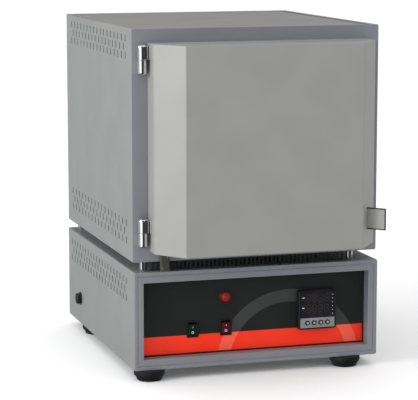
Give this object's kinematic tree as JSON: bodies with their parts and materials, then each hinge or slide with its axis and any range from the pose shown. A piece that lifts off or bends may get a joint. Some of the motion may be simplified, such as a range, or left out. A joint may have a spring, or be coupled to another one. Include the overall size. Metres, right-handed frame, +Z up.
{
  "type": "electric chamber kiln",
  "caption": "Benchtop electric chamber kiln: slotted grey furnace box with a hinged plug door above a control base with fascia, switches and controller.",
  "frame": {"origin": "centre of the footprint on the surface that the feet stand on, within the 5 mm by which the fuse cap stands out on one side", "axes": "+X to the right of someone facing the door, +Y to the back, +Z up"},
  "size_m": [0.469, 0.6306, 0.625],
  "materials": {
    "side_paint": "satin",
    "frame_paint": "satin",
    "door_paint": "satin",
    "top_paint": "satin",
    "black_paint": "matte",
    "fascia_film": "satin",
    "black_plastic": "satin",
    "smoked_window": "gloss",
    "keypad_film": "satin",
    "key_rubber": "matte",
    "green_plastic": "gloss",
    "red_plastic": "gloss",
    "lamp_body": "gloss",
    "lamp_red": "gloss",
    "rubber": "matte",
    "zinc_steel": "satin",
    "nickel": "polished",
    "chrome": "polished",
    "bare_aluminium": "satin",
    "brown_bakelite": "satin",
    "cream_nylon": "satin",
    "white_ceramic": "satin",
    "ceramic_fibre": "matte",
    "fire_brick": "matte",
    "hearth_ceramic": "matte",
    "coil_wire": "matte",
    "seal_rope": "matte"
  },
  "bodies": {
    "cabinet": {"base_floor": "zinc_steel", "base_left_side": "side_paint", "base_right_side": "side_paint", "base_top_plate": "frame_paint", "base_rear_panel": "side_paint", "base_front_frame": "frame_paint", "control_fascia": "fascia_film", "controller_case": "black_plastic", "controller_window": "smoked_window", "controller_keypad": "keypad_film", "green_switch_housing": "black_plastic", "red_switch_housing": "black_plastic", "lamp_bezel": "lamp_body", "lamp_lens": "lamp_red", "feet": "rubber", "foot_screws": "zinc_steel", "fuse_holder": "black_plastic", "cable_gland": "black_plastic", "terminal_block": "white_ceramic", "power_relay": "black_plastic", "heat_sink": "bare_aluminium", "standoffs": "nickel", "gap_baffle": "black_paint", "interlock_switch": "brown_bakelite", "furnace_front_frame": "frame_paint", "furnace_left_side": "side_paint", "furnace_right_side": "side_paint", "furnace_top": "top_paint", "furnace_rear": "side_paint", "furnace_floor": "zinc_steel", "inner_case": "zinc_steel", "insulation_floor": "ceramic_fibre", "insulation_roof": "ceramic_fibre", "insulation_left": "ceramic_fibre", "insulation_right": "ceramic_fibre", "insulation_back": "ceramic_fibre", "mouth_bricks": "fire_brick", "heating_coil_left": "coil_wire", "heating_coil_right": "coil_wire", "hearth_plate": "hearth_ceramic", "thermocouple": "white_ceramic", "flue_tube": "white_ceramic", "element_terminals": "white_ceramic", "hinge_frame_halves": "chrome", "hinge_pins": "zinc_steel"},
    "door": {"door_cover": "door_paint", "door_inner_plate": "zinc_steel", "door_insulation": "ceramic_fibre", "door_plug": "ceramic_fibre", "door_seal": "seal_rope", "door_handle": "door_paint", "hinge_door_halves": "chrome"},
    "green_rocker": {"green_rocker": "green_plastic"},
    "red_rocker": {"red_rocker": "red_plastic"},
    "fuse_cap": {"fuse_cap": "black_plastic"},
    "interlock_plunger": {"interlock_plunger": "cream_nylon"},
    "key_1": {"controller_key_1": "key_rubber"},
    "key_2": {"controller_key_2": "key_rubber"},
    "key_3": {"controller_key_3": "key_rubber"},
    "key_4": {"controller_key_4": "key_rubber"}
  },
  "joints": [
    {"name": "door_hinge", "type": "hinge", "parent": "cabinet", "child": "door", "pos_m": [-0.214, -0.226, 0.42], "axis": [0, 0, -1], "range_deg": [0, 130]},
    {"name": "green_rocker_tilt", "type": "hinge", "parent": "cabinet", "child": "green_rocker", "pos_m": [-0.116, -0.196, 0.0845], "axis": [-1, 0, 0], "range_deg": [0, 18]},
    {"name": "red_rocker_tilt", "type": "hinge", "parent": "cabinet", "child": "red_rocker", "pos_m": [-0.0535, -0.196, 0.0845], "axis": [-1, 0, 0], "range_deg": [0, 18]},
    {"name": "key_1_press", "type": "slide", "parent": "cabinet", "child": "key_1", "axis": [0, 1, 0], "range_m": [0, 0.0008], "stiffness_N_per_m": 400},
    {"name": "key_2_press", "type": "slide", "parent": "cabinet", "child": "key_2", "axis": [0, 1, 0], "range_m": [0, 0.0008], "stiffness_N_per_m": 400},
    {"name": "key_3_press", "type": "slide", "parent": "cabinet", "child": "key_3", "axis": [0, 1, 0], "range_m": [0, 0.0008], "stiffness_N_per_m": 400},
    {"name": "key_4_press", "type": "slide", "parent": "cabinet", "child": "key_4", "axis": [0, 1, 0], "range_m": [0, 0.0008], "stiffness_N_per_m": 400},
    {"name": "fuse_cap_turn", "type": "hinge", "parent": "cabinet", "child": "fuse_cap", "pos_m": [-0.235, 0.188, 0.071], "axis": [-1, 0, 0], "range_deg": [0, 60]},
    {"name": "interlock_press", "type": "slide", "parent": "cabinet", "child": "interlock_plunger", "axis": [0, 0, -1], "range_m": [0, 0.002], "stiffness_N_per_m": 150}
  ]
}
